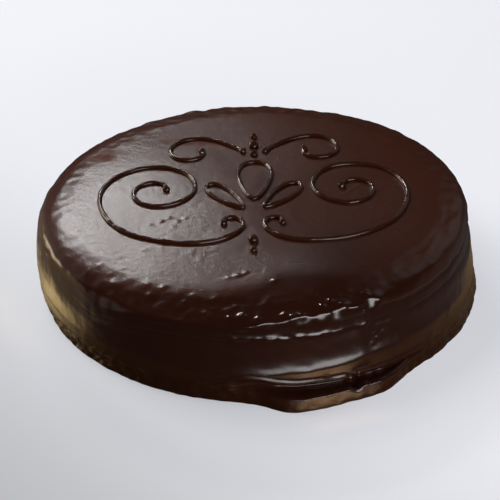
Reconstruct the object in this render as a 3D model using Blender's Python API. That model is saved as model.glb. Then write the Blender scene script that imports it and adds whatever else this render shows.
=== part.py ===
"""A whole chocolate-glazed torte with a scroll ornament piped on its top.

Units are metres, +Z is up, and the origin is the middle of the flat base.
Angles run anticlockwise from +X, so the side that faces a viewer who looks along +Y is at -90 degrees.
"""

import math

import bmesh
import bpy
from mathutils import Vector

MM = 0.001

# The cake: nominal sizes, before the unevenness of hand work.
CAKE_RADIUS = 125 * MM
RIM_HEIGHT = 50 * MM
TOP_DOME = 2.2 * MM  # rise of the middle of the top over its rim
TOP_TILT = 0.028  # the top rises towards +X by this slope
FACE_RADIUS = 101 * MM  # inside this the top is nearly flat
FOOT_RADIUS = 120.6 * MM
FOOT_SHIFT = 3.7 * MM  # the foot stands this far towards +X

# The glaze tongue that ran out on the board, at the front right.
TONGUE_FROM = -86
TONGUE_TO = -53
TONGUE_REACH = 8 * MM
TONGUE_EDGE = 2.0  # degrees over which its ends fade

# The spatula's last pass along the side ended in an upright step.
LAP_ANGLE = -61
LAP_HEIGHT = 1.1 * MM
LAP_EDGE = 1.2
LAP_FADE = 30

TOP_RINGS = 20
AROUND = 6 * TOP_RINGS

# The piping.
BEAD_RADIUS = 1.45 * MM
BEAD_SIDES = 6
END_SWELL = 1.45
CLEARANCE = 0.3 * MM  # gap between the top and what is piped on it
WALK_STEP = 0.25 * MM
STEP_PER_BEND_RADIUS = 0.34
SHORTEST_STEP = 2.0 * MM
LONGEST_STEP = 7.0 * MM
# How sharply the scroll and the curl bend, in 1/m, at even shares of their length.
SCROLL_BENDS = (248, 40, 14, 23, 20, 39, 41, 51, 73, 145)
CURL_BENDS = (-8, -22, -62, -75, -95, -190)
# The drops on the middle line: place along Y and radius.
DROPS = ((-0.057, 1.9 * MM), (-0.047, 2.7 * MM), (0.047, 2.3 * MM), (0.057, 2.8 * MM), (0.068, 2.0 * MM))

GLAZE_COLOUR = (0.022, 0.0085, 0.006, 1)
PIPING_COLOUR = (0.010, 0.004, 0.003, 1)


# ---------------------------------------------------------------- unevenness


def swell(angle, centre_deg, spread_deg):
    """A smooth bump round the cake: 1 at its centre, 1/e at its spread."""
    away = 1 - math.cos(angle - math.radians(centre_deg))
    return math.exp(-away / (1 - math.cos(math.radians(spread_deg))))


def fade_in(angle, start_deg, width_deg):
    """From 0 before an angle to 1 after it, for angles from -180 to 180 degrees."""
    degrees = math.degrees(math.atan2(math.sin(angle), math.cos(angle)))
    return 1 / (1 + math.exp(-(degrees - start_deg) / width_deg))


def ripple(angle, *terms):
    """A sum of waves round the cake, each given as waves per turn, size in mm and phase in degrees."""
    return MM * sum(size * math.cos(n * angle - math.radians(phase)) for n, size, phase in terms)


def tongue(angle):
    return fade_in(angle, TONGUE_FROM, TONGUE_EDGE) * (1 - fade_in(angle, TONGUE_TO, TONGUE_EDGE))


def lap(angle):
    """The thicker glaze on one side of the upright step, thinning away from it."""
    behind = 1 - fade_in(angle, LAP_ANGLE, LAP_EDGE)
    return LAP_HEIGHT * behind * swell(angle, LAP_ANGLE, LAP_FADE)


# ---------------------------------------------------------------- the cake's outline


def top_height(x, y):
    """Height of the top over the base, at a point of the plan."""
    dome = TOP_DOME * (1 - (x * x + y * y) / CAKE_RADIUS**2)
    swash = 0.35 * math.cos(x / 0.019 + 0.4) * math.cos(y / 0.023 + 1.1)
    swash += 0.25 * math.cos(x / 0.031 - y / 0.027 + 2.0)
    return RIM_HEIGHT + TOP_TILT * x + dome + 1.2 * MM + swash * MM


def side_outline(angle):
    """The side's outline at one angle: (radius, height) from the edge of the flat top down to the base."""
    left = swell(angle, 180, 45)
    right = swell(angle, -20, 50)
    front = swell(angle, -90, 60)
    ledges = swell(angle, -73, 14)  # where the glaze set in ledges
    lump = ripple(angle, (2, 0.5, 40), (3, 0.8, 10), (5, 0.5, 200))
    drift = ripple(angle, (2, 0.5, 150), (3, 0.5, 60), (7, 0.25, 0))
    step = lap(angle)
    rim = RIM_HEIGHT + TOP_TILT * CAKE_RADIUS * math.cos(angle)
    foot = FOOT_RADIUS + FOOT_SHIFT * math.cos(angle)
    lip_drop = (5.0 - 3.6 * front + 4.5 * right - 0.6 * left) * MM

    face = FACE_RADIUS + lump
    brow = 114.5 * MM + lump + (1.6 * left - 0.5 * right) * MM
    crown = 117.6 * MM + 0.8 * lump + (1.2 * left - 1.2 * right) * MM
    lip = 119.0 * MM + 0.6 * lump + (0.4 * left - 1.6 * right) * MM
    band = 119.4 * MM + 0.5 * lump + (0.8 * left - 1.0 * right) * MM
    crease = 119.8 * MM + 0.5 * lump + (0.9 * left - 0.4 * right) * MM
    flare = 121.8 * MM + 0.5 * lump - 0.6 * left * MM
    ledge = 123.6 * MM + 0.4 * lump + (0.8 * ledges - 2.0 * left) * MM
    waist = 122.8 * MM + 0.4 * lump + (0.6 * right - 2.2 * left - 0.7 * ledges) * MM
    drip = 122.6 * MM + 0.3 * lump + (1.6 * right - 2.8 * left + 1.2 * ledges) * MM
    reach = TONGUE_REACH * tongue(angle) * (1 + 0.4 * swell(angle, TONGUE_FROM + 6, 8))

    return [
        (face, top_height(face * math.cos(angle), face * math.sin(angle))),
        (0.62 * brow + 0.38 * face, rim + 0.9 * MM),
        (brow, rim - 1.0 * MM),
        (crown, rim - 0.5 * lip_drop - 0.7 * MM),
        (lip + 0.5 * step, rim - lip_drop + drift),
        (lip - 0.5 * MM + 0.5 * step, rim - lip_drop - 1.8 * MM + drift),
        (band + step, 41.5 * MM + 0.5 * drift + 1.5 * front * MM),
        (crease + step, 37.0 * MM + 0.5 * drift),
        (flare + step, 29.0 * MM),
        (ledge + step, 21.0 * MM),
        (waist + step, 17.5 * MM),
        (drip + step, 12.6 * MM),
        (foot - 1.8 * ledges * MM, 7.0 * MM),
        (foot + 0.85 * reach, 3.2 * MM),
        (foot + 0.4 * MM + reach, 1.2 * MM),
        (foot - 0.2 * MM + 0.95 * reach, 0),
    ]


# ---------------------------------------------------------------- meshes


def new_object(name, bm, material):
    mesh = bpy.data.meshes.new(name)
    bmesh.ops.recalc_face_normals(bm, faces=bm.faces)
    bm.to_mesh(mesh)
    bm.free()
    mesh.shade_smooth()
    mesh.set_sharp_from_angle(angle=math.radians(50))
    mesh.materials.append(material)
    obj = bpy.data.objects.new(name, mesh)
    bpy.context.scene.collection.objects.link(obj)
    return obj


def glossy(name, colour, roughness):
    material = bpy.data.materials.new(name)
    material.use_nodes = True
    shader = material.node_tree.nodes["Principled BSDF"]
    shader.inputs["Base Color"].default_value = colour
    shader.inputs["Roughness"].default_value = roughness
    shader.inputs["Metallic"].default_value = 0
    return material


def join_rings(bm, inner, outer):
    """Fills the strip between a ring of 6(k-1) vertices and one of 6k, or between the middle and the first ring."""
    k = len(outer) // 6
    for sector in range(6):
        for j in range(k):
            a = outer[sector * k + j]
            b = outer[(sector * k + j + 1) % len(outer)]
            c = inner[(sector * (k - 1) + j) % len(inner)]
            bm.faces.new((a, b, c))
            if j < k - 1:
                bm.faces.new((c, b, inner[(sector * (k - 1) + j + 1) % len(inner)]))


def build_cake():
    bm = bmesh.new()
    ring = [bm.verts.new((0, 0, top_height(0, 0)))]
    for k in range(1, TOP_RINGS + 1):
        outer = []
        for m in range(6 * k):
            angle = 2 * math.pi * m / (6 * k)
            radius = side_outline(angle)[0][0] * k / TOP_RINGS
            x, y = radius * math.cos(angle), radius * math.sin(angle)
            outer.append(bm.verts.new((x, y, top_height(x, y))))
        join_rings(bm, ring, outer)
        ring = outer

    angles = [2 * math.pi * m / AROUND for m in range(AROUND)]
    outlines = [side_outline(angle) for angle in angles]
    for row in range(1, len(outlines[0])):
        lower = []
        for angle, outline in zip(angles, outlines):
            radius, height = outline[row]
            lower.append(bm.verts.new((radius * math.cos(angle), radius * math.sin(angle), height)))
        for m in range(AROUND):
            n = (m + 1) % AROUND
            bm.faces.new((ring[m], lower[m], lower[n], ring[n]))
        ring = lower
    bm.faces.new(ring)
    return new_object("glazed_cake", bm, glossy("Chocolate_glaze", GLAZE_COLOUR, 0.22))


# ---------------------------------------------------------------- piping


def walk(start, heading_deg, length, bends):
    """A line drawn by steering: bends are curvatures in 1/m at even shares of its length, left positive."""
    points, spacing = [Vector(start)], [1.0]
    heading = math.radians(heading_deg)
    steps = round(length / WALK_STEP)
    for i in range(steps):
        share = (i + 0.5) / steps * (len(bends) - 1)
        k = min(int(share), len(bends) - 2)
        t = share - k
        t = t * t * (3 - 2 * t)
        bend = bends[k] * (1 - t) + bends[k + 1] * t
        heading += bend * WALK_STEP
        ahead = Vector((math.cos(heading), math.sin(heading))) * WALK_STEP
        points.append(points[-1] + ahead)
        spacing.append(STEP_PER_BEND_RADIUS / max(abs(bend), 1e-3))
    return thin_out(points, spacing)


def thin_out(points, spacing):
    """Keeps points closer together where the line bends more."""
    kept, gone = [points[0]], 0.0
    for i in range(1, len(points)):
        gone += (points[i] - points[i - 1]).length
        if gone >= min(max(spacing[i], SHORTEST_STEP), LONGEST_STEP):
            kept.append(points[i])
            gone = 0.0
    kept[-1] = points[-1]
    return kept


def mirrored(line):
    return [Vector((-p.x, p.y)) for p in line]


def petal_line(base, half_length, half_width, lean_deg, points):
    """A closed drop shape, its narrow end at the base, leaning towards +X by an angle."""
    line = []
    lean = math.radians(lean_deg)
    for i in range(points):
        turn = 2 * math.pi * i / points
        along = half_length * (1 - math.cos(turn))
        across = half_width * math.sin(turn) * (1 - 0.35 * math.cos(turn))
        line.append(Vector((
            base[0] + along * math.sin(lean) - across * math.cos(lean),
            base[1] + along * math.cos(lean) + across * math.sin(lean),
        )))
    return line


def bead_ring(bm, point, ahead, radius, middle):
    across = Vector((ahead.y, -ahead.x))
    ring = []
    for side in range(BEAD_SIDES):
        turn = 2 * math.pi * side / BEAD_SIDES
        out = point + across * radius * math.cos(turn)
        ring.append(bm.verts.new((out.x, out.y, middle + radius * math.sin(turn))))
    return ring


def bead_tip(ring, way):
    """The small ring that rounds off a bead, before its first ring or after its last."""
    point, ahead, radius, height = ring
    return point + ahead * radius * 0.7 * way, ahead, radius * 0.5, height


def build_bead(name, line, material, closed=False):
    """A piped bead along a line on the top, with a flat underside, and swollen ends if it has ends."""
    flat = math.cos(math.pi / BEAD_SIDES)
    last = len(line) - 1
    rings = []
    for i, point in enumerate(line):
        before = line[i - 1] if closed or i > 0 else point
        after = line[(i + 1) % len(line)] if closed or i < last else point
        swollen = not closed and i in (0, last)
        radius = BEAD_RADIUS * (END_SWELL if swollen else 1)
        rings.append((point, (after - before).normalized(), radius, radius))
    if not closed:
        rings = [bead_tip(rings[0], -1)] + rings + [bead_tip(rings[-1], 1)]

    bm = bmesh.new()
    loops = []
    for point, ahead, radius, height in rings:
        middle = top_height(point.x, point.y) + CLEARANCE + height * flat
        loops.append(bead_ring(bm, point, ahead, radius, middle))
    pairs = list(zip(loops, loops[1:]))
    if closed:
        pairs.append((loops[-1], loops[0]))
    else:
        bm.faces.new(loops[0])
        bm.faces.new(loops[-1])
    for near, far in pairs:
        for side in range(BEAD_SIDES):
            nxt = (side + 1) % BEAD_SIDES
            bm.faces.new((near[side], near[nxt], far[nxt], far[side]))
    return new_object(name, bm, material)


def build_drop(name, y, radius, material):
    """A round pearl of piping on the middle line, with its underside cut flat."""
    bm = bmesh.new()
    bmesh.ops.create_uvsphere(bm, u_segments=10, v_segments=6, radius=radius)
    low = -0.5 * radius
    geometry = bm.verts[:] + bm.edges[:] + bm.faces[:]
    cut = bmesh.ops.bisect_plane(bm, geom=geometry, plane_co=(0, 0, low), plane_no=(0, 0, -1), clear_outer=True)
    edges = [part for part in cut["geom_cut"] if isinstance(part, bmesh.types.BMEdge)]
    bmesh.ops.contextual_create(bm, geom=edges)
    bmesh.ops.translate(bm, verts=bm.verts, vec=(0, y, top_height(0, y) + CLEARANCE - low))
    return new_object(name, bm, material)


def build_piping():
    """A scroll, a curl and a leaf on each side of a middle petal, and a row of drops on the middle line."""
    material = glossy("Piped_chocolate", PIPING_COLOUR, 0.12)
    scroll = walk((0.0145, -0.031), 40, 0.306, SCROLL_BENDS)
    curl = walk((0.005, 0.049), 52, 0.092, CURL_BENDS)
    leaf = petal_line((0.0065, -0.013), 0.0155, 0.0052, 36, 22)
    for side, shape in (("right", list), ("left", mirrored)):
        build_bead("piped_scroll_" + side, shape(scroll), material)
        build_bead("piped_curl_" + side, shape(curl), material)
        build_bead("piped_leaf_" + side, shape(leaf), material, closed=True)
    build_bead("piped_petal", petal_line((0, -0.004), 0.021, 0.0088, 0, 28), material, closed=True)
    for i, (y, radius) in enumerate(DROPS):
        build_drop(f"piped_drop_{i + 1}", y, radius, material)


def centre_on_origin(cake):
    """Moves everything sideways so that the middle of the cake's box stands on the origin."""
    xs = [v.co.x for v in cake.data.vertices]
    ys = [v.co.y for v in cake.data.vertices]
    for obj in bpy.context.scene.objects:
        obj.location.x = -(min(xs) + max(xs)) / 2
        obj.location.y = -(min(ys) + max(ys)) / 2


def main():
    for obj in list(bpy.data.objects):
        bpy.data.objects.remove(obj)
    cake = build_cake()
    build_piping()
    centre_on_origin(cake)


main()
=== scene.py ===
"""Looks of a whole chocolate torte: poured glaze, a piped ornament and a plain studio.

Units are metres in the frame of the CAD: +Z is up and the middle of the base is the origin.
Angles run anticlockwise from +X, so the side that faces the viewer is at -90 degrees.
Rows of sizes are in millimetres where a name says so.
"""

import math

import bmesh
import bpy
import numpy as np
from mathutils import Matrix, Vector, noise


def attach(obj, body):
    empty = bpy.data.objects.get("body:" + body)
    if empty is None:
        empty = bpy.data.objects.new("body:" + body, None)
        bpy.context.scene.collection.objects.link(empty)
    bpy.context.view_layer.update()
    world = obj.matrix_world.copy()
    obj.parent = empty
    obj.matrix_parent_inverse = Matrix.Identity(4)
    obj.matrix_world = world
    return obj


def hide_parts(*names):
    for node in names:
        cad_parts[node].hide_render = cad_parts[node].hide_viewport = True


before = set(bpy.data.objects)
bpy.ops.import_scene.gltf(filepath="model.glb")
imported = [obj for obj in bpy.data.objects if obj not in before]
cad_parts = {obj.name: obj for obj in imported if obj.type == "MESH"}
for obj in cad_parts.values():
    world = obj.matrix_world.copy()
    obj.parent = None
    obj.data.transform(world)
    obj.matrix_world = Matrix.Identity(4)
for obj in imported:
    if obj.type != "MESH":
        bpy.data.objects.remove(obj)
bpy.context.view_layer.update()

MM = 0.001

# The cake, as in the CAD.
CAKE_RADIUS = 125 * MM
RIM_HEIGHT = 50 * MM
TOP_TILT = 0.028  # the top rises towards +X by this slope
FACE_RADIUS = 101 * MM  # inside this the top is nearly flat
FOOT_RADIUS = 120.6 * MM
FOOT_SHIFT = 3.7 * MM  # the foot stands this far towards +X
TONGUE_FROM = -86  # the glaze that ran out at the foot, in degrees
TONGUE_TO = -53
TONGUE_REACH = 8 * MM
TONGUE_EDGE = 2.0
LAP_ANGLE = -61  # the upright step where the spatula's last pass ended
LAP_HEIGHT = 1.1 * MM
LAP_FADE = 30

# The cake, where this skin is finer or fuller than the CAD's solid.
TOP_DOME = 3.4 * MM
TOP_GLAZE = 1.2 * MM
SHOULDER_TO = 117 * MM
SHOULDER_BEND = 2.5 * MM
LAP_EDGE = 0.8

# Patches along the front rim: start and end in degrees, and size.
RIM_PATCHES = (
    (-87.6, -84.4, 0.75), (-82.2, -80.6, 0.7), (-79.8, -75.2, 1.0), (-74.2, -71.2, 1.0), (-70.4, -67.6, 1.0),
    (-67.2, -64.6, 0.7), (-61.4, -56.6, 1.3),
)
PATCH_EDGE = 0.45

# Lumps and gaps on the side: angle in degrees, height, half width, half height and rise in mm.
SIDE_SPOTS = (
    (-65.3, 9.6, 2.2, 2.6, -2.6), (-63.2, 9.8, 1.3, 1.6, 0.6), (-57.6, 28.6, 1.5, 1.2, 0.6),
    (-59.2, 26.4, 1.2, 1.0, 0.5), (-55.6, 30.6, 1.3, 1.5, 0.6), (-58.3, 31.2, 1.0, 0.9, 0.4),
    (-60.8, 43.0, 1.0, 3.5, 0.5), (-61.5, 36.0, 1.2, 3.0, 0.4), (-76.4, 20.5, 0.5, 1.0, -0.35),
    (-72.0, 14.8, 1.2, 0.8, 0.3), (-96.0, 9.0, 2.6, 2.4, 0.7), (-104.0, 11.0, 3.2, 1.6, 0.6),
    (-118.0, 12.0, 3.0, 2.0, 0.6), (-142.0, 8.0, 3.0, 2.0, 0.9), (-40.0, 14.0, 4.0, 2.5, 0.6),
    (-31.0, 20.0, 3.0, 6.0, 0.4), (-56.8, 49.0, 3.6, 3.0, 0.9),
)

# Single spots on the top, all as x, y, lean in degrees, half length, half width and rise, in mm:
# steep drops along the front rim, then crumbs and bubbles, then three faint strokes of the spatula.
RIM_DROPS = (
    (20, -114.3, 10, 2.6, 1.6, 1.2), (15.6, -112.8, 0, 1.8, 1.4, 1.0), (25.3, -113.3, 30, 1.8, 1.4, 1.0),
    (35.2, -107.5, 25, 2.0, 1.6, 1.3), (46, -105.4, 20, 2.6, 1.9, 1.5), (39.4, -103.6, 0, 1.3, 1.3, 0.8),
    (57.5, -96.5, 0, 1.8, 1.6, 1.3), (2.1, -115.6, 10, 1.8, 1.5, 1.1), (-5.5, -113, 50, 1.8, 1.5, 1.2),
    (-12, -114, -20, 2.2, 1.5, 1.1),
)
TOP_CRUMBS = (
    (-8, -80, 20, 2.1, 1.5, 0.6), (-4, -78, 60, 1.4, 1.3, 0.4), (11, -86, 0, 1.5, 1.3, 0.5),
    (-13, -82, 30, 1.5, 1.3, 0.3), (-50, -24, 0, 1.4, 1.2, 0.34), (-46, -21, 0, 1.2, 1.2, 0.26),
    (-41, -25, 0, 1.2, 1.1, 0.24), (-56, -27, 0, 1.2, 1.1, 0.22), (-37, -22, 0, 1.2, 1.1, 0.2),
)
SPATULA_STROKES = ((56, 8, 47, 17, 1.2, 0.07), (69, 6, 47, 12, 1.2, 0.06), (47, 24, 20, 9, 1.2, 0.04))

# Where the glaze dried matt on the top: x, y, half length and half width in mm, and lean.
MATT_PATCHES = ((-85, 52, 13, 10, 0.2), (-35, 65, 24, 7, -0.25))

# The piping's beads, a little thinner than in the CAD, with a blob near each end.
BEAD_RADIUS = 1.3 * MM
BLOB_GIRTH = 0.55
BLOB_PLACE = 1.6 * MM
BLOB_LENGTH = 1.7 * MM
BEAD_END = 1.5 * MM
HAND_WANDER = 0.9 * MM

# The piping's lines, as in the CAD: curvatures in 1/m along each stroke, and the drops' places and sizes.
SCROLL_BENDS = (248, 40, 14, 23, 20, 39, 41, 51, 73, 145)
CURL_BENDS = (-8, -22, -62, -75, -95, -190)
DROPS = ((-0.057, 1.9 * MM), (-0.047, 2.7 * MM), (0.047, 2.3 * MM), (0.057, 2.8 * MM), (0.068, 2.0 * MM))

# Mesh density.
TOP_RINGS = 108
AROUND = 6 * TOP_RINGS
SIDE_STEP = 1.05 * MM
BEAD_SIDES = 14
BEAD_STEP = 0.8 * MM

# The gold card that the glaze mirrors, and two bright pools on it: the card glows though no lamp lights it,
# so its pools are painted light and the glaze shows them as painted reflections.
CARD_INNER = 118 * MM
CARD_OUTER = 151 * MM
CARD_SIDES = 96
FRONT_PAINTED_POOL = (48 * MM, -137 * MM, 0)
LEFT_PAINTED_POOL = (-142 * MM, -36 * MM, 0)

# Glows of the room, each as azimuth, elevation, cosines at its edge and its core, and strength.
GLOWS = {
    "left_table": (145, -12, 0.75, 0.98, 0.45),
    "left_corner": (170, 0, 0.90, 0.985, 0.65),
    "left_wall": (140, 26, 0.90, 0.98, 0.24),
    "doorway": (146, 8, 0.965, 0.995, 7.0),
    "right_wall": (48, 33, 0.88, 0.98, 0.28),
    "right_table": (22, -18, 0.72, 0.95, 0.08),
}

# Lamps, each as azimuth, elevation, distance, width, height, radiance, and whether the glaze mirrors it.
PANELS = {
    "window_panel": (106.5, 31.6, 2.0, 0.51, 0.12, 34.0, True),
    "fill_panel": (150, 45, 2.0, 1.5, 1.5, 3.9, False),
    "front_panel": (-61, 10, 1.3, 1.15, 0.38, 7.0, True),
}
PANEL_AIM = 40 * MM
FLOOR_HALF = 6

# The camera, as place and view direction.
CAMERA_PLACE = (0, -1.09675, 0.69090)
CAMERA_AZIMUTH = 90.0993
CAMERA_ELEVATION = -31.4793
LENS_MM = 165.6
SENSOR_MM = 36


# ---------------------------------------------------------------- unevenness round the cake


def swell(angle, centre_deg, spread_deg):
    """A smooth bump round the cake: 1 at its centre, 1/e at its spread."""
    away = 1 - np.cos(angle - math.radians(centre_deg))
    return np.exp(-away / (1 - math.cos(math.radians(spread_deg))))


def fade_in(angle, start_deg, width_deg):
    """From 0 before an angle to 1 after it, for angles from -180 to 180 degrees."""
    degrees = np.degrees(np.arctan2(np.sin(angle), np.cos(angle)))
    return 1 / (1 + np.exp(-np.clip((degrees - start_deg) / width_deg, -60, 60)))


def between(angle, start_deg, end_deg, width_deg):
    """1 from one angle to another and 0 elsewhere, with soft ends."""
    return fade_in(angle, start_deg, width_deg) * (1 - fade_in(angle, end_deg, width_deg))


def ripple(angle, *terms):
    """A sum of waves round the cake, each given as waves per turn, size in mm and phase in degrees."""
    return MM * sum(size * np.cos(n * angle - math.radians(phase)) for n, size, phase in terms)


def wander(angle, wavelength_mm, seed):
    """Noise round the cake, from -1 to 1, with features of a given length."""
    angle = np.asarray(angle, dtype=float)
    reach = CAKE_RADIUS / (wavelength_mm * MM)
    around = zip(np.cos(angle).ravel() * reach, np.sin(angle).ravel() * reach)
    return np.array([noise.noise(Vector((x, y, seed * 7.3))) for x, y in around]).reshape(angle.shape)


def lap(angle, shift_deg=0.0):
    """The thicker glaze on one side of the upright step, thinning away from it."""
    behind = 1 - fade_in(angle, LAP_ANGLE + shift_deg, LAP_EDGE)
    return LAP_HEIGHT * behind * swell(angle, LAP_ANGLE, LAP_FADE)


def rim_patches(angle):
    """Where the front rim set in flat, tilted patches that catch the light; 1 is a full one."""
    return sum(size * between(angle, start, end, PATCH_EDGE) for start, end, size in RIM_PATCHES)


# ---------------------------------------------------------------- the cake's outline


def shoulder_start(angle):
    """Radius at which the top starts to fall away to the rim."""
    start = 104 + 7 * swell(angle, 180, 40) - 7 * swell(angle, -105, 25) - 20 * swell(angle, -76, 17)
    start = start + 3.5 * swell(angle, -10, 40)
    return MM * (start + 1.8 * wander(angle, 17, 11) + 0.4 * wander(angle, 6, 12))


def past_shoulder(x, y):
    """How far a point of the plan lies outside the start of the shoulder, eased in, and the slope there."""
    radius = np.sqrt(x * x + y * y)
    angle = np.arctan2(y, x)
    start = shoulder_start(angle)
    bend = SHOULDER_BEND * (1 + 1.6 * swell(angle, -70, 20) + 1.2 * swell(angle, 0, 40))
    fall = (2.3 + 1.0 * swell(angle, -100, 35) - 0.3 * swell(angle, 180, 50)) * MM
    past = np.log1p(np.exp(np.clip((radius - start) / bend, -30, 30))) * bend
    return past, fall / (SHOULDER_TO - start)


def top_height(x, y):
    """Height of the top over the base, at points of the plan."""
    x, y = np.asarray(x, dtype=float), np.asarray(y, dtype=float)
    dome = TOP_DOME * (1 - (x * x + y * y) / CAKE_RADIUS**2)
    past, slope = past_shoulder(x, y)
    # Slow waves that the spatula left, and the thicker glaze at the front right, in millimetres.
    swash = 0.35 * np.cos(x / 0.019 + 0.4) * np.cos(y / 0.023 + 1.1)
    swash += 0.25 * np.cos(x / 0.031 - y / 0.027 + 2.0)
    swash += 1.5 * np.exp(-((x - 0.036) ** 2 + (y + 0.102) ** 2) / 0.034**2)
    return RIM_HEIGHT + TOP_TILT * x + dome + TOP_GLAZE + swash * MM - past * slope


def side_outline(angle):
    """The side's outline at many angles: rows of (radius, height) from the flat top down to the base.

    Numbers beside MM are millimetres. The rows steer a smooth line and lie a little off it.
    """
    # Where round the cake each kind of mark lies.
    left = swell(angle, -165, 36)
    right = swell(angle, -20, 50)
    runs = between(angle, -97, -38, 4)
    raised = between(angle, -89, -55, 2)
    proud = rim_patches(angle)
    roll = between(angle, -90, -69.5, 1)
    sag = swell(angle, -131, 7)
    lump = ripple(angle, (2, 0.5, 40), (3, 0.8, 10), (5, 0.5, 200))
    drift = ripple(angle, (2, 0.5, 150), (3, 0.5, 60), (7, 0.25, 0)) + 0.5 * MM * wander(angle, 14, 1)
    upper, step, lower = lap(angle, 0.8), lap(angle), lap(angle, -3.5)

    def top_at(radius):
        return top_height(radius * np.cos(angle), radius * np.sin(angle))

    # Radii, from the top down.
    face = FACE_RADIUS + lump
    brow = (114.0 - 0.4 * left - 0.5 * right) * MM + lump
    crown = (117.4 - 0.9 * left - 1.2 * right) * MM + 0.8 * lump
    lip = (119.2 - 0.8 * left - 1.6 * right + 0.4 * wander(angle, 9, 2)) * MM + 0.6 * lump
    band = (118.7 + 0.3 * left - 0.3 * right) * MM + 0.5 * lump
    crease = (119.3 + 0.2 * left + 0.5 * runs - 0.7 * right + 0.2 * wander(angle, 7, 13)) * MM + 0.5 * lump
    ledge = (120.9 - 0.6 * left + 1.3 * right + 1.3 * runs) * MM + 0.4 * lump
    flare = ledge - (0.8 + 1.5 * runs - 0.9 * left + 0.5 * right) * MM
    recess = flare - (0.9 - 0.5 * runs - 0.7 * left) * MM
    drip = ledge + (0.7 * runs - 0.5 * left + 0.4 * right) * MM
    foot = FOOT_RADIUS + FOOT_SHIFT * np.cos(angle)
    reach = TONGUE_REACH * between(angle, TONGUE_FROM, TONGUE_TO, TONGUE_EDGE)
    reach = reach * (1 + 0.4 * swell(angle, TONGUE_FROM + 6, 8))
    ragged = 0.5 * MM * wander(angle, 5, 3) + 0.6 * MM * wander(angle, 12, 4)

    # Heights, and how far the lip and the crease hang over.
    lip_drop = 3.6 + 3.6 * right - 0.6 * left + 4.0 * sag + 0.9 * between(angle, -127, -92, 4) - 1.2 * raised
    lip_drop = (lip_drop - 1.2 * swell(angle, -110, 4) - 1.2 * swell(angle, -59, 4)) * MM - drift
    lip_height = top_at(SHOULDER_TO) - lip_drop
    crease_height = (38.4 - 5.5 * swell(angle, -133, 14) + 0.4 * wander(angle, 6, 5)) * MM + 0.4 * drift
    crease_height = np.minimum(crease_height, lip_height - 3 * MM)
    notch_height = crease_height - 1.4 * MM
    ledge_height = (18.8 + 3.6 * between(angle, -67, -20, 4) + 0.4 * wander(angle, 11, 6)) * MM
    flare_height = ledge_height + 8.2 * MM
    drip_height = (12.3 + 4.5 * swell(angle, -91, 7) - 1.3 * swell(angle, -58, 10)) * MM
    drip_height = drip_height + 0.4 * MM * wander(angle, 9, 7)
    overhang = (0.1 + 0.9 * right + 0.7 * swell(angle, 90, 60)) * MM
    over = overhang * (1 - np.minimum(proud, 1))
    hook = (0.35 + 0.45 * between(angle, -129, -93, 4)) * (1 - left) * (1 - 0.8 * raised) * (1 - right) * MM

    bevel = 0.62 * brow + 0.38 * face
    lip = lip + 0.5 * upper
    crease = crease + 0.85 * upper

    def tuck(share):
        """The foot's outline: straight down from the wall, or set back at once under the front drips."""
        return foot + (1 - runs) * (1 - share) * (drip - foot) + ragged * share

    rows = [
        (face, top_at(face)),
        (bevel, top_at(bevel) - 0.3 * MM),
        (brow, top_at(brow) - 0.8 * MM),
        (crown, top_at(SHOULDER_TO) - 0.34 * lip_drop - 0.3 * left * MM),
        (lip - (0.35 + 1.35 * proud + 1.1 * left) * MM, lip_height + (1.5 + 0.4 * proud) * MM),
        (lip - (1.1 * proud + 0.6 * left) * MM, lip_height + (0.4 - 0.2 * left) * MM),
        (lip - 0.1 * over - 0.5 * proud * MM, lip_height - (0.5 + 0.6 * proud + 0.6 * left) * MM),
        (lip - over + (0.3 * left + 0.1 * proud) * MM, lip_height - (1.5 + 1.1 * proud + 0.4 * left) * MM),
        (band + 0.75 * upper, 0.5 * (lip_height + crease_height)),
        (crease - (0.4 + 0.35 * roll - 0.1 * left) * MM, crease_height + 1.5 * MM),
        (crease - 0.15 * left * MM, crease_height + 0.4 * MM),
        (crease - 0.1 * hook, crease_height - 0.5 * MM),
        (crease - hook + 0.1 * left * MM, notch_height + 0.3 * MM),
        (crease - hook + 0.15 * left * MM, notch_height),
        (recess + 0.7 * step - 0.15 * left * MM, 0.7 * notch_height + 0.3 * flare_height),
        (0.4 * recess + 0.6 * flare + step - 0.1 * runs * MM, 0.35 * notch_height + 0.65 * flare_height),
        (flare + step, flare_height),
        (0.72 * flare + 0.28 * ledge + step, ledge_height + 4.9 * MM),
        (0.36 * flare + 0.64 * ledge + step, ledge_height + 2.2 * MM),
        (ledge + step, ledge_height + 0.4 * MM),
        (ledge + 0.1 * MM + step, ledge_height - 0.7 * MM),
        (drip - 0.8 * runs * MM + lower, drip_height + 3.2 * MM),
        (drip - 0.8 * runs * MM + lower, drip_height + 2.3 * MM),
        (drip - 0.37 * runs * MM + lower, drip_height + 1.2 * MM),
        (drip + 0.06 * runs * MM + lower, drip_height + 0.1 * MM),
        (drip + 0.1 * runs * MM + lower, drip_height - 0.7 * MM),
        (drip - 1.4 * runs * MM + lower, drip_height - 1.3 * MM),
        (tuck(0.15) - 0.8 * runs * MM + 0.1 * reach, drip_height - 2.0 * MM),
        (tuck(0.25) - 0.4 * runs * MM + 0.6 * reach, 9.3 * MM),
        (tuck(0.30) + 0.97 * reach, 9.0 * MM),
        (tuck(0.35) + 0.2 * MM + reach, 8.5 * MM),
        (tuck(0.5) + 0.3 * MM + reach, 7.2 * MM),
        (tuck(0.8) + 0.5 * MM + reach, 4.6 * MM),
        (tuck(1.0) + 0.5 * MM + reach, 2.6 * MM),
        (tuck(1.0) + 0.4 * MM + reach, 1.0 * MM),
        (tuck(1.0) - 0.2 * MM + 0.96 * reach, 0 * angle),
    ]
    return [(radius, np.broadcast_to(height, angle.shape)) for radius, height in rows]


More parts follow.
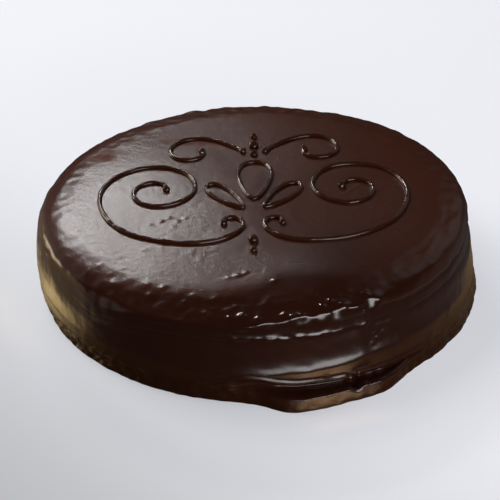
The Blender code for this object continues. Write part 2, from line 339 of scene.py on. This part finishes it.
def smooth_rows(rows, step):
    """Rows along the smooth line that the given rows steer, evenly about a step apart."""
    radii = np.array([row[0] for row in rows])
    heights = np.array([row[1] for row in rows])
    radii = np.vstack([2 * radii[0] - radii[1], radii, 2 * radii[-1] - radii[-2]])
    heights = np.vstack([2 * heights[0] - heights[1], heights, 2 * heights[-1] - heights[-2]])
    fine = []
    for i in range(1, len(radii) - 2):
        length = np.hypot(radii[i + 1] - radii[i], heights[i + 1] - heights[i]).mean()
        parts = max(1, math.ceil(length / step))
        for part in range(parts):
            t = part / parts
            weights = ((1 - t) ** 3, 3 * t**3 - 6 * t**2 + 4, -3 * t**3 + 3 * t**2 + 3 * t + 1, t**3)
            fine.append(tuple(
                sum(w * line[i - 1 + k] for k, w in enumerate(weights)) / 6 for line in (radii, heights)
            ))
    fine.append((radii[-2], heights[-2]))
    return fine


# ---------------------------------------------------------------- meshes


def srgb(code):
    """A hex colour, as a screen shows it, turned to linear light."""
    levels = [int(code[i : i + 2], 16) / 255 for i in (1, 3, 5)]
    linear = [v / 12.92 if v <= 0.04045 else ((v + 0.055) / 1.055) ** 2.4 for v in levels]
    return (*linear, 1)


def new_piece(name, bm, material):
    """A smooth piece from a finished mesh, with its outsides facing out."""
    mesh = bpy.data.meshes.new(name)
    bmesh.ops.recalc_face_normals(bm, faces=bm.faces)
    bm.to_mesh(mesh)
    bm.free()
    mesh.shade_smooth()
    mesh.materials.append(material)
    piece = bpy.data.objects.new(name, mesh)
    bpy.context.scene.collection.objects.link(piece)
    return piece


def skin_grid():
    """Positions of the skin: rings of the top from the middle out, then rows of the side down to the base."""
    angles = 2 * math.pi * np.arange(AROUND) / AROUND
    rows = smooth_rows(side_outline(angles), SIDE_STEP)
    edge_radius, edge_height = rows[0]
    rings = [np.array([[0, 0, float(top_height(0.0, 0.0))]])]
    for k in range(1, TOP_RINGS + 1):
        turn = 2 * math.pi * np.arange(6 * k) / (6 * k)
        edge = np.interp(turn, angles, edge_radius, period=2 * math.pi)
        lift = np.interp(turn, angles, edge_height, period=2 * math.pi)
        lift = lift - top_height(edge * np.cos(turn), edge * np.sin(turn))
        radius = edge * k / TOP_RINGS
        x, y = radius * np.cos(turn), radius * np.sin(turn)
        rings.append(np.stack([x, y, top_height(x, y) + lift * (k / TOP_RINGS) ** 8], axis=-1))
    for radius, height in rows[1:]:
        rings.append(np.stack([radius * np.cos(angles), radius * np.sin(angles), height], axis=-1))
    return rings


def join_rings(bm, inner, outer):
    """Fills the strip between a ring of 6(k-1) vertices and one of 6k; the first strip joins the middle."""
    k = len(outer) // 6
    for sector in range(6):
        for j in range(k):
            a = outer[sector * k + j]
            b = outer[(sector * k + j + 1) % len(outer)]
            c = inner[(sector * (k - 1) + j) % len(inner)]
            bm.faces.new((a, b, c))
            if j < k - 1:
                bm.faces.new((c, b, inner[(sector * (k - 1) + j + 1) % len(inner)]))


def build_skin(offset, material):
    """The whole cake's skin, closed at the base, with the marks of pouring raised along its normals."""
    bm = bmesh.new()
    rings = [[bm.verts.new(p) for p in ring] for ring in skin_grid()]
    for inner, outer in zip(rings[:TOP_RINGS], rings[1 : TOP_RINGS + 1]):
        join_rings(bm, inner, outer)
    for upper, lower in zip(rings[TOP_RINGS:], rings[TOP_RINGS + 1 :]):
        for m in range(AROUND):
            n = (m + 1) % AROUND
            bm.faces.new((upper[m], lower[m], lower[n], upper[n]))
    bm.faces.new(rings[-1])
    bm.normal_update()
    points = np.array([v.co for v in bm.verts])
    normals = np.array([v.normal for v in bm.verts])
    # The marks fade out at the very foot, which stands flat.
    height = relief(points) * smooth_step(points[:, 2], 0.2 * MM, 1.5 * MM)
    for vert, move in zip(bm.verts, normals * height[:, None]):
        vert.co += Vector(move)
    bmesh.ops.translate(bm, verts=bm.verts, vec=offset)
    piece = new_piece("glaze_skin", bm, material)
    looks = {
        "satin": satin(points),
        "paleness": paleness(points),
        "smudge": smudges(points),
        "dullness": dullness(points),
    }
    for name, values in looks.items():
        piece.data.attributes.new(name, "FLOAT", "POINT").data.foreach_set("value", values)
    return piece


def smooth_step(value, low, high):
    """0 below the low value and 1 above the high one, eased between."""
    share = np.clip((value - low) / (high - low), 0, 1)
    return share * share * (3 - 2 * share)


def noise_at(points, wavelength_mm, seed):
    """Smooth noise at many points, from -1 to 1, with features of a given length."""
    shift = Vector((seed * 3.1, seed * 1.7, seed * 5.3))
    size = wavelength_mm * MM
    return np.array([noise.noise(Vector(p) / size + shift) for p in points])


def satin(points):
    """1 on the flat of the top, where the glaze dried dull, and 0 where it ran: the front and the sides."""
    past, _ = past_shoulder(points[:, 0], points[:, 1])
    angle = np.arctan2(points[:, 1], points[:, 0])
    ran = np.minimum(1.5 * swell(angle, -95, 60), 1) * smooth_step(past, 0, 8 * MM)
    return (1 - ran) * smooth_step(points[:, 2], 42 * MM, 47 * MM)


def paleness(points):
    """How much of the dull glaze's paler colour shows: less where it is thicker, at the front right."""
    near_right = np.exp(-((points[:, 0] - 0.048) ** 2 + (points[:, 1] + 0.072) ** 2) / 0.042**2)
    return satin(points) * (1 - 0.8 * near_right)


def dullness(points):
    """The glaze's roughness: satin on the top, glossy on the rim and in the drips, duller on the walls."""
    angle = np.arctan2(points[:, 1], points[:, 0])
    wall = 1 - smooth_step(points[:, 2], 40 * MM, 44 * MM)
    crease = np.exp(-(((points[:, 2] - 38.5 * MM) / (2 * MM)) ** 2)) * swell(angle, -80, 20)
    drips = (1 - smooth_step(points[:, 2], 14.5 * MM, 17 * MM)) * smooth_step(points[:, 2], 8.5 * MM, 10 * MM)
    wet = np.maximum(crease, drips * between(angle, -97, -50, 3))
    return 0.17 + 0.11 * satin(points) + 0.08 * wall * (1 - wet)


def smudges(points):
    """Two patches on the top where the glaze dried matt, blotchy inside and frayed at the border."""
    blotch = noise_at(points, 6, 21)
    patches = np.zeros(len(points))
    for x, y, half_x, half_y, lean in MATT_PATCHES:
        along = (points[:, 0] / MM - x) + lean * (points[:, 1] / MM - y)
        across = (points[:, 1] / MM - y) - lean * (points[:, 0] / MM - x)
        near = np.hypot(along / half_x, across / half_y)
        patches = np.maximum(patches, 1 - smooth_step(near + 0.5 * blotch, 0.35, 1.15))
    return patches * smooth_step(points[:, 2], 44 * MM, 47 * MM) * (0.65 + 0.35 * noise_at(points, 2.5, 22))


def mounds(points, spots):
    """The rise in mm that small hills of glaze give at each point of the top."""
    height = np.zeros(len(points))
    raised = points[:, 2] > 41 * MM
    for x, y, lean, half_long, half_wide, rise in spots:
        east, north = points[:, 0] / MM - x, points[:, 1] / MM - y
        turn = math.radians(lean)
        along = (east * math.cos(turn) + north * math.sin(turn)) / half_long
        across = (north * math.cos(turn) - east * math.sin(turn)) / half_wide
        near = along**2 + across**2
        height += np.where(raised & (near < 9), rise * np.exp(-near), 0)
    return height


def side_mounds(points, spots):
    """The rise in mm that lumps and gaps give at each point of the side."""
    height = np.zeros(len(points))
    outer = np.hypot(points[:, 0], points[:, 1]) > 112 * MM
    angle = np.degrees(np.arctan2(points[:, 1], points[:, 0]))
    for turn, level, half_wide, half_high, rise in spots:
        across = (angle - turn) * math.radians(1) * CAKE_RADIUS / MM / half_wide
        near = across**2 + ((points[:, 2] / MM - level) / half_high) ** 2
        height += np.where(outer & (near < 9), rise * np.exp(-near), 0)
    return height


def rim_spots():
    """Wrinkles and drops that set as the glaze crept over the front of the rim."""
    rng = np.random.default_rng(7)
    spots = list(RIM_DROPS)
    for _ in range(64):
        angle = rng.normal(-102, 20)
        radius = rng.uniform(100, 117)
        x, y = radius * math.cos(math.radians(angle)), radius * math.sin(math.radians(angle))
        half_long = rng.uniform(1.3, 3.0)
        spots.append((x, y, rng.uniform(0, 180), half_long, rng.uniform(1.1, 2.0), rng.uniform(0.05, 0.34)))
    return spots


def top_spots():
    """Crumbs and bubbles under the glaze on the top, most of them at the front left, and shallow pits."""
    rng = np.random.default_rng(11)
    spots = list(TOP_CRUMBS + SPATULA_STROKES)
    for _ in range(75):
        rise = rng.uniform(-0.10, 0.12)
        size = rng.uniform(1.1, 1.7)
        spots.append((rng.normal(-42, 36), rng.normal(-48, 24), rng.uniform(0, 180), 1.4 * size, size, rise))
    return spots


def relief(points):
    """How far the glaze stands out at each point, from pouring and spreading it."""
    radius = np.hypot(points[:, 0], points[:, 1])
    angle = np.arctan2(points[:, 1], points[:, 0])
    high = smooth_step(points[:, 2], 41 * MM, 47 * MM)
    low = 1 - smooth_step(points[:, 2], 7 * MM, 14 * MM)
    shoulder = smooth_step(radius, 94 * MM, 110 * MM) * high
    rim = smooth_step(radius, 111 * MM, 116 * MM) * high
    shelf = (1 - smooth_step(points[:, 2], 15 * MM, 18 * MM)) * between(angle, -97, -50, 3)
    side = smooth_step(radius, 112 * MM, 117 * MM) * (1 - high) * (1 - 0.75 * shelf)
    front = swell(angle, -100, 40)
    glints = swell(angle, -76, 24)
    back = swell(angle, 90, 70)

    # Broad waves everywhere, and the grain of the flat top.
    height = 0.08 * noise_at(points, 24, 1) + 0.035 * noise_at(points, 9, 2)
    height += (1 - shoulder) * high * 0.04 * noise_at(points, 2.7, 17)

    # Puckers over the shoulder, calmer where the patches of the front rim lie, and finer ones on the rim.
    calm = 1 - 0.75 * rim * between(angle, -89, -55, 3)
    height += calm * shoulder * (0.12 + 0.50 * front) * noise_at(points, 12, 3)
    height += calm * shoulder * (0.04 + 0.38 * front + 0.75 * back) * noise_at(points, 6, 4)
    height += calm * shoulder * 0.14 * front * noise_at(points, 3, 13)
    height += rim * (0.09 + 0.05 * glints) * noise_at(points, 5.0, 7)
    height += rim * 0.14 * glints * noise_at(points, 2.8, 8)

    # Waves round the side, which lie flat, and upright runs at its left and its right.
    level = points * [1, 1, 2]
    upright = points * [1, 1, 0.3]
    height += side * (0.22 * noise_at(level, 22, 9) + 0.12 * noise_at(level, 9, 10))
    height += side * 0.04 * noise_at(points, 3, 12)
    runny = side * (swell(angle, -155, 40) + 0.6 * swell(angle, -25, 40))
    height += runny * (0.12 * noise_at(upright, 5, 14) + 0.07 * noise_at(upright, 2.5, 15))

    # The beaded edge of the crease, the ragged foot, and folds along the right shoulder.
    crease = np.exp(-(((points[:, 2] - 39 * MM) / (1.8 * MM)) ** 2)) * swell(angle, -80, 20)
    height += crease * 0.5 * noise_at(points, 2.8, 11)
    height += low * 0.5 * noise_at(points, 6, 5)
    along = np.stack([np.cos(angle) * 0.035, np.sin(angle) * 0.035, radius - 0.6 * points[:, 2]], axis=-1)
    folds = noise_at(along, 3.5, 6) + noise_at(along, 7, 16)
    height += shoulder * (0.08 + 0.30 * swell(angle, -25, 30)) * folds

    height += mounds(points, rim_spots()) + mounds(points, top_spots()) + side_mounds(points, SIDE_SPOTS)
    return height * MM


# ---------------------------------------------------------------- piping


def walk(start, heading_deg, length, bends):
    """A line drawn by steering: bends are curvatures in 1/m at even shares of its length, left positive."""
    step = 0.25 * MM
    points = [Vector(start)]
    heading = math.radians(heading_deg)
    steps = round(length / step)
    for i in range(steps):
        share = (i + 0.5) / steps * (len(bends) - 1)
        k = min(int(share), len(bends) - 2)
        t = share - k
        t = t * t * (3 - 2 * t)
        heading += (bends[k] * (1 - t) + bends[k + 1] * t) * step
        points.append(points[-1] + Vector((math.cos(heading), math.sin(heading))) * step)
    every = round(BEAD_STEP / step)
    return points[::every]


def mirrored(line):
    """The same line on the other side of the ornament."""
    return [Vector((-p.x, p.y)) for p in line]


def petal_line(base, half_length, half_width, lean_deg, points):
    """A closed drop shape, its narrow end at the base, leaning towards +X by an angle."""
    line = []
    lean = math.radians(lean_deg)
    for i in range(points):
        turn = 2 * math.pi * i / points
        along = half_length * (1 - math.cos(turn))
        across = half_width * math.sin(turn) * (1 - 0.35 * math.cos(turn))
        line.append(Vector((
            base[0] + along * math.sin(lean) - across * math.cos(lean),
            base[1] + along * math.cos(lean) + across * math.sin(lean),
        )))
    return line


def shaky(line, seed):
    """The line as a hand pipes it, a little off its course."""
    out = []
    for p in line:
        where = Vector((p.x / 0.024, p.y / 0.024, seed * 3.7))
        out.append(p + Vector((noise.noise(where), noise.noise(where + Vector((5, 5, 5))))) * HAND_WANDER)
    return out


def build_bead(name, line, seed, offset, material, closed=False):
    """A piped bead that sits in the glaze, thicker and thinner along its way, with a blob at each end."""
    line = shaky(line, seed)
    count = len(line)
    rings = []
    for i, point in enumerate(line):
        before = line[i - 1] if closed or i > 0 else point
        after = line[(i + 1) % count] if closed or i < count - 1 else point
        ahead = (after - before).normalized()
        slow, quick = Vector((i * 0.11, seed, 0)), Vector((i * 0.35, seed, 9))
        girth = 1 + 0.16 * noise.noise(slow) + 0.08 * noise.noise(quick)
        to_end = min(i, count - 1 - i) * BEAD_STEP
        if not closed:
            girth *= 1 + BLOB_GIRTH * math.exp(-((to_end - BLOB_PLACE) / BLOB_LENGTH) ** 2)
            girth *= min(1, math.sqrt(max(to_end, 0.05 * MM) / BEAD_END))
        rings.append((point, ahead, BEAD_RADIUS * girth))

    bm = bmesh.new()
    loops = []
    for point, ahead, radius in rings:
        across = Vector((ahead.y, -ahead.x))
        ground = float(top_height(point.x, point.y))
        loop = []
        for side in range(BEAD_SIDES):
            turn = 2 * math.pi * side / BEAD_SIDES
            out = point + across * radius * math.cos(turn)
            rise = radius * (0.35 + (1.05 if math.sin(turn) > 0 else 0.9) * math.sin(turn))
            loop.append(bm.verts.new((out.x + offset.x, out.y + offset.y, ground + rise)))
        loops.append(loop)
    pairs = list(zip(loops, loops[1:]))
    if closed:
        pairs.append((loops[-1], loops[0]))
    else:
        bm.faces.new(loops[0])
        bm.faces.new(loops[-1])
    for near, far in pairs:
        for side in range(BEAD_SIDES):
            nxt = (side + 1) % BEAD_SIDES
            bm.faces.new((near[side], near[nxt], far[nxt], far[side]))
    return new_piece(name, bm, material)


def build_drop(name, y, radius, seed, offset, material):
    """A round pearl of piping, with the small off-centre peak that the nozzle leaves."""
    bm = bmesh.new()
    bmesh.ops.create_icosphere(bm, subdivisions=4, radius=radius)
    for vert in bm.verts:
        near_top = max(vert.co.z / radius, 0)
        vert.co *= 1 + 0.06 * noise.noise(vert.co / radius + Vector((seed, 0, 0)))
        vert.co.z *= 0.8
        vert.co += Vector((0.12, -0.08, 0.30)) * radius * near_top**8
    height = float(top_height(0.0, y)) + 0.35 * radius
    bmesh.ops.translate(bm, verts=bm.verts, vec=(offset.x, y + offset.y, height))
    return new_piece(name, bm, material)


def build_piping(offset, material):
    """The ornament's pieces, each with the name of the CAD node that it stands for."""
    scroll = walk((0.0145, -0.031), 40, 0.306, SCROLL_BENDS)
    curl = walk((0.005, 0.049), 52, 0.092, CURL_BENDS)
    leaf = petal_line((0.0065, -0.013), 0.0155, 0.0052, 36, 90)
    pieces = {}
    for seed, (side, shape) in enumerate((("right", list), ("left", mirrored))):
        lines = (("scroll", scroll, False), ("curl", curl, False), ("leaf", leaf, True))
        for kind, line, closed in lines:
            node = f"piped_{kind}_{side}"
            name = f"bead_{kind}_{side}"
            pieces[node] = build_bead(name, shape(line), 3 * seed + len(kind), offset, material, closed)
    petal = petal_line((0, -0.004), 0.021, 0.0088, 0, 130)
    pieces["piped_petal"] = build_bead("bead_petal", petal, 11, offset, material, True)
    for i, (y, radius) in enumerate(DROPS):
        name = f"bead_drop_{i + 1}"
        pieces[f"piped_drop_{i + 1}"] = build_drop(name, y, radius, 20 + i, offset, material)
    return pieces


# ---------------------------------------------------------------- materials


def add(tree, kind, inputs=None, **settings):
    """Adds a node with its settings; inputs are values, or sockets to link from."""
    node = tree.nodes.new(kind)
    for key, value in settings.items():
        setattr(node, key, value)
    for key, value in (inputs or {}).items():
        if isinstance(value, bpy.types.NodeSocket):
            tree.links.new(value, node.inputs[key])
        else:
            node.inputs[key].default_value = value
    return node


def total(tree, sockets):
    """The sum of several values."""
    whole = sockets[0]
    for socket in sockets[1:]:
        whole = add(tree, "ShaderNodeMath", {0: whole, 1: socket}, operation="ADD").outputs["Value"]
    return whole


def per_m(length_mm):
    """The scale of a texture whose features are this many millimetres long."""
    return 1000 / length_mm


def new_material(name):
    """A material with its tree and its main shader."""
    material = bpy.data.materials.new(name)
    material.use_nodes = True
    tree = material.node_tree
    return material, tree, tree.nodes["Principled BSDF"]


def poured_glaze():
    """Chocolate sugar glaze, poured warm and spread with a spatula.

    It dried satin on the flat top, which mirrors the window as a broad pale haze, and stayed glossy
    where it ran, dark with sharp highlights. Two patches on the top dried matt and redder.
    """
    material, tree, shader = new_material("Chocolate glaze, poured")
    place = add(tree, "ShaderNodeTexCoord").outputs["Object"]
    flat = add(tree, "ShaderNodeAttribute", attribute_name="satin").outputs["Fac"]
    pale = add(tree, "ShaderNodeAttribute", attribute_name="paleness").outputs["Fac"]
    patch = add(tree, "ShaderNodeAttribute", attribute_name="smudge").outputs["Fac"]
    clouds = add(tree, "ShaderNodeTexNoise", {"Vector": place, "Scale": per_m(38), "Detail": 3.0})

    glossy = add(tree, "ShaderNodeMix", {
        "Factor": clouds.outputs["Fac"], "A": srgb("#29110A"), "B": srgb("#32160C"),
    }, data_type="RGBA")
    top = add(tree, "ShaderNodeMix", {
        "Factor": clouds.outputs["Fac"], "A": srgb("#3E1C0F"), "B": srgb("#472112"),
    }, data_type="RGBA")
    body = add(tree, "ShaderNodeMix", {
        "Factor": pale, "A": glossy.outputs["Result"], "B": top.outputs["Result"],
    }, data_type="RGBA")
    colour = add(tree, "ShaderNodeMix", {
        "Factor": patch, "A": body.outputs["Result"], "B": srgb("#5A2F22"),
    }, data_type="RGBA")
    tree.links.new(colour.outputs["Result"], shader.inputs["Base Color"])

    rough = add(tree, "ShaderNodeAttribute", attribute_name="dullness").outputs["Fac"]
    dull = add(tree, "ShaderNodeMath", {0: patch, 1: 0.4, 2: rough}, operation="MULTIPLY_ADD")
    tree.links.new(dull.outputs["Value"], shader.inputs["Roughness"])

    shine = add(tree, "ShaderNodeMapRange", {"Value": patch, "To Min": 0.5, "To Max": 0.05})
    tree.links.new(shine.outputs["Result"], shader.inputs["Specular IOR Level"])

    # Real sugar grain is much finer; it is drawn about a millimetre wide so that it shows.
    grain = add(tree, "ShaderNodeTexNoise", {"Vector": place, "Scale": per_m(1.1), "Detail": 2.0})
    waves = add(tree, "ShaderNodeTexNoise", {"Vector": place, "Scale": per_m(5), "Detail": 2.0})
    fine = add(tree, "ShaderNodeBump", {
        "Height": grain.outputs["Fac"], "Distance": 0.06 * MM, "Strength": flat,
    })
    broad = add(tree, "ShaderNodeBump", {
        "Height": waves.outputs["Fac"], "Distance": 0.06 * MM, "Strength": 1.0,
        "Normal": fine.outputs["Normal"],
    })
    tree.links.new(broad.outputs["Normal"], shader.inputs["Normal"])
    shader.inputs["IOR"].default_value = 1.5
    return material


def piped_chocolate():
    """Melted dark chocolate, piped through a fine nozzle: near black, with a bright line along each bead."""
    material, tree, shader = new_material("Dark chocolate, piped")
    place = add(tree, "ShaderNodeTexCoord").outputs["Object"]
    streaks = add(tree, "ShaderNodeTexNoise", {"Vector": place, "Scale": per_m(3), "Detail": 2.0})
    colour = add(tree, "ShaderNodeValToRGB", {"Fac": streaks.outputs["Fac"]})
    colour.color_ramp.elements[0].color = srgb("#33180E")
    colour.color_ramp.elements[1].color = srgb("#3E1F13")
    tree.links.new(colour.outputs["Color"], shader.inputs["Base Color"])
    bump = add(tree, "ShaderNodeBump", {"Height": streaks.outputs["Fac"], "Distance": 0.08 * MM})
    tree.links.new(bump.outputs["Normal"], shader.inputs["Normal"])
    shader.inputs["Roughness"].default_value = 0.18
    shader.inputs["IOR"].default_value = 1.5
    return material


# ---------------------------------------------------------------- studio


def towards(azimuth_deg, elevation_deg):
    """The unit vector that points to an azimuth and an elevation."""
    azimuth, elevation = math.radians(azimuth_deg), math.radians(elevation_deg)
    flat = math.cos(elevation)
    return Vector((flat * math.cos(azimuth), flat * math.sin(azimuth), math.sin(elevation)))


def soft_panel(name, azimuth, elevation, distance, width, height, radiance, mirrored_too):
    """A rectangular lamp that faces the cake, with its brightness given as radiance."""
    lamp = bpy.data.lights.new(name, "AREA")
    lamp.shape = "RECTANGLE"
    lamp.size = width
    lamp.size_y = height
    lamp.energy = radiance * math.pi * width * height
    panel = bpy.data.objects.new(name, lamp)
    bpy.context.scene.collection.objects.link(panel)
    direction = towards(azimuth, elevation)
    panel.location = direction * distance + Vector((0, 0, PANEL_AIM))
    panel.rotation_euler = direction.to_track_quat("Z", "Y").to_euler()
    panel.visible_camera = False
    panel.visible_glossy = mirrored_too
    return panel


def glowing_studio_board():
    """Matt white studio board: plain and pale, with no sheen. It glows as painted light, which also pales the
    cake's shadow on it, and the glow is weaker at the near left as painted shade.
    """
    material, tree, shader = new_material("Matt white studio board")
    place = add(tree, "ShaderNodeTexCoord").outputs["Object"]
    # Painted light: the board's glow, weakest at the near left as painted shade.
    across = add(tree, "ShaderNodeVectorMath", {0: place, 1: (0.75, 0.66, 0)}, operation="DOT_PRODUCT")
    level = add(tree, "ShaderNodeMapRange", {
        "Value": across.outputs["Value"], "From Min": -0.27, "From Max": 0.02, "To Min": 0.18, "To Max": 0.58,
    }, interpolation_type="SMOOTHSTEP")
    tree.links.new(level.outputs["Result"], shader.inputs["Emission Strength"])
    shader.inputs["Base Color"].default_value = srgb("#B4B6B9")
    shader.inputs["Roughness"].default_value = 0.9
    shader.inputs["Emission Color"].default_value = srgb("#F6F7FF")
    return material


def build_floor(material):
    """A sheet of pale board that doesn't light the cake or mirror in it."""
    bm = bmesh.new()
    bmesh.ops.create_grid(bm, x_segments=1, y_segments=1, size=FLOOR_HALF)
    floor = new_piece("floor", bm, material)
    floor.visible_glossy = False
    floor.visible_diffuse = False
    return floor


def pool(tree, place, centre, reach, core, strength):
    """A round pool of light about a place, full within its core and gone past its reach."""
    away = add(tree, "ShaderNodeVectorMath", {0: place, 1: centre}, operation="DISTANCE")
    return add(tree, "ShaderNodeMapRange", {
        "Value": away.outputs["Value"], "From Min": reach, "From Max": core, "To Max": strength,
    }, interpolation_type="SMOOTHSTEP").outputs["Result"]


def glowing_gold_card():
    """Gold foil card, embossed as lace: a broken yellow shine, brightest in two pools by the cake. The shine
    is painted light, a glow though no lamp lights the card, and it fades near the foot as painted shade.
    """
    material, tree, shader = new_material("Gold card, embossed, glowing")
    place = add(tree, "ShaderNodeTexCoord").outputs["Object"]
    emboss = add(tree, "ShaderNodeTexVoronoi", {"Vector": place, "Scale": per_m(5)})
    bump = add(tree, "ShaderNodeBump", {"Height": emboss.outputs["Distance"], "Distance": 1 * MM})
    tree.links.new(bump.outputs["Normal"], shader.inputs["Normal"])
    shader.inputs["Base Color"].default_value = srgb("#C9B48C")
    shader.inputs["Metallic"].default_value = 1
    shader.inputs["Roughness"].default_value = 0.45

    # Painted light: two pools of glow by the cake, and a weak glow that rises towards +X.
    front_painted_pool = pool(tree, place, FRONT_PAINTED_POOL, 0.034, 0.012, 2.6)
    left_painted_pool = pool(tree, place, LEFT_PAINTED_POOL, 0.056, 0.008, 2.0)
    east = add(tree, "ShaderNodeSeparateXYZ", {"Vector": place}).outputs["X"]
    base = add(tree, "ShaderNodeMapRange", {
        "Value": east, "From Min": -0.03, "From Max": 0.04, "To Min": 0.05, "To Max": 0.18,
    })
    lit = total(tree, (front_painted_pool, left_painted_pool, base.outputs["Result"]))

    # Painted shade: the glow fades near the foot; it also ends at the card's outer edge and follows the lace.
    away = add(tree, "ShaderNodeVectorMath", {0: place}, operation="LENGTH")
    inside = add(tree, "ShaderNodeMapRange", {
        "Value": away.outputs["Value"], "From Min": 0.126, "From Max": 0.140, "To Min": 0.05,
    })
    outside = add(tree, "ShaderNodeMapRange", {
        "Value": away.outputs["Value"], "From Min": CARD_OUTER, "From Max": 0.143,
    })
    lace = add(tree, "ShaderNodeMapRange", {
        "Value": emboss.outputs["Distance"], "From Min": 0.1, "From Max": 0.5, "To Min": 0.45, "To Max": 1.25,
    })
    shine = lit
    for part in (inside, outside, lace):
        shine = add(tree, "ShaderNodeMath", {
            0: shine, 1: part.outputs["Result"],
        }, operation="MULTIPLY").outputs["Value"]
    # The card's glow is painted light; the glaze mirrors it as painted reflections.
    tree.links.new(shine, shader.inputs["Emission Strength"])
    tint = add(tree, "ShaderNodeMix", {
        "Factor": left_painted_pool, "A": srgb("#FFC994"), "B": srgb("#FFDFA0"),
    }, data_type="RGBA")
    tree.links.new(tint.outputs["Result"], shader.inputs["Emission Color"])
    return material


def build_gold_ring(offset, material):
    """Gold card round the foot, seen only in the glaze, which mirrors it as it does a cake board; the card's
    glow is painted light, so what the glaze shows of it is painted reflection.
    """
    bm = bmesh.new()
    loops = []
    for radius in (CARD_INNER, CARD_OUTER):
        loops.append([
            bm.verts.new((radius * math.cos(a), radius * math.sin(a), 0.3 * MM))
            for a in np.linspace(0, 2 * math.pi, CARD_SIDES, endpoint=False)
        ])
    for m in range(CARD_SIDES):
        n = (m + 1) % CARD_SIDES
        bm.faces.new((loops[0][m], loops[1][m], loops[1][n], loops[0][n]))
    bmesh.ops.translate(bm, verts=bm.verts, vec=offset)
    ring = new_piece("glowing_gold_ring", bm, material)
    ring.visible_camera = False
    ring.visible_diffuse = False
    ring.visible_shadow = False
    return ring


def soft_glow(tree, way, azimuth, elevation, edge, core, strength):
    """A round glow of the room: full where the cosine to its centre is past the core, gone past the edge."""
    centre = towards(azimuth, elevation)
    near = add(tree, "ShaderNodeVectorMath", {0: way, 1: centre}, operation="DOT_PRODUCT")
    return add(tree, "ShaderNodeMapRange", {
        "Value": near.outputs["Value"], "From Min": edge, "From Max": core, "To Max": strength,
    }, interpolation_type="SMOOTHSTEP").outputs["Result"]


def build_world():
    """A dim room with soft glows; those below the horizon are what the glaze mirrors of the table."""
    world = bpy.data.worlds.new("studio")
    bpy.context.scene.world = world
    world.use_nodes = True
    tree = world.node_tree
    background = tree.nodes["Background"]
    way = add(tree, "ShaderNodeTexCoord").outputs["Generated"]
    glows = {name: soft_glow(tree, way, *shape) for name, shape in GLOWS.items()}
    up = add(tree, "ShaderNodeSeparateXYZ", {"Vector": way}).outputs["Z"]
    room = add(tree, "ShaderNodeMapRange", {
        "Value": up, "From Min": -0.2, "From Max": 0.3, "To Min": 0.03, "To Max": 0.012,
    })
    tree.links.new(total(tree, (*glows.values(), room.outputs["Result"])), background.inputs["Strength"])
    warm = add(tree, "ShaderNodeMath", {
        0: glows["left_table"], 1: 2.0, 2: glows["left_corner"],
    }, operation="MULTIPLY_ADD")
    tint = add(tree, "ShaderNodeMix", {
        "Factor": warm.outputs["Value"], "A": (1, 1, 1, 1), "B": srgb("#D2B48A"),
    }, data_type="RGBA")
    tree.links.new(tint.outputs["Result"], background.inputs["Color"])


def build_camera(offset):
    """A long lens, looking down at the cake from the front."""
    data = bpy.data.cameras.new("camera")
    data.lens = LENS_MM
    data.sensor_width = SENSOR_MM
    camera = bpy.data.objects.new("camera", data)
    bpy.context.scene.collection.objects.link(camera)
    camera.location = Vector(CAMERA_PLACE) + offset
    forward = towards(CAMERA_AZIMUTH, CAMERA_ELEVATION)
    camera.rotation_euler = forward.to_track_quat("-Z", "Y").to_euler()
    bpy.context.scene.camera = camera


def axis_offset():
    """Where the cake's axis stands in the frame, whose origin is the middle of the cake's box."""
    angles = 2 * math.pi * np.arange(AROUND) / AROUND
    reach = np.max([row[0] for row in side_outline(angles)], axis=0)
    x, y = reach * np.cos(angles), reach * np.sin(angles)
    return Vector((-(x.min() + x.max()) / 2, -(y.min() + y.max()) / 2, 0))


# ---------------------------------------------------------------- the scene

bpy.context.scene.view_settings.view_transform = "Standard"

axis = axis_offset()
skin = build_skin(axis, poured_glaze())
beads = build_piping(axis, piped_chocolate())

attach(skin, "root")
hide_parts("glazed_cake")
for node, bead in beads.items():
    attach(bead, "root")
    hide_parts(node)

build_camera(axis)
build_floor(glowing_studio_board())
build_gold_ring(axis, glowing_gold_card())
build_world()
for name, shape in PANELS.items():
    soft_panel(name, *shape)
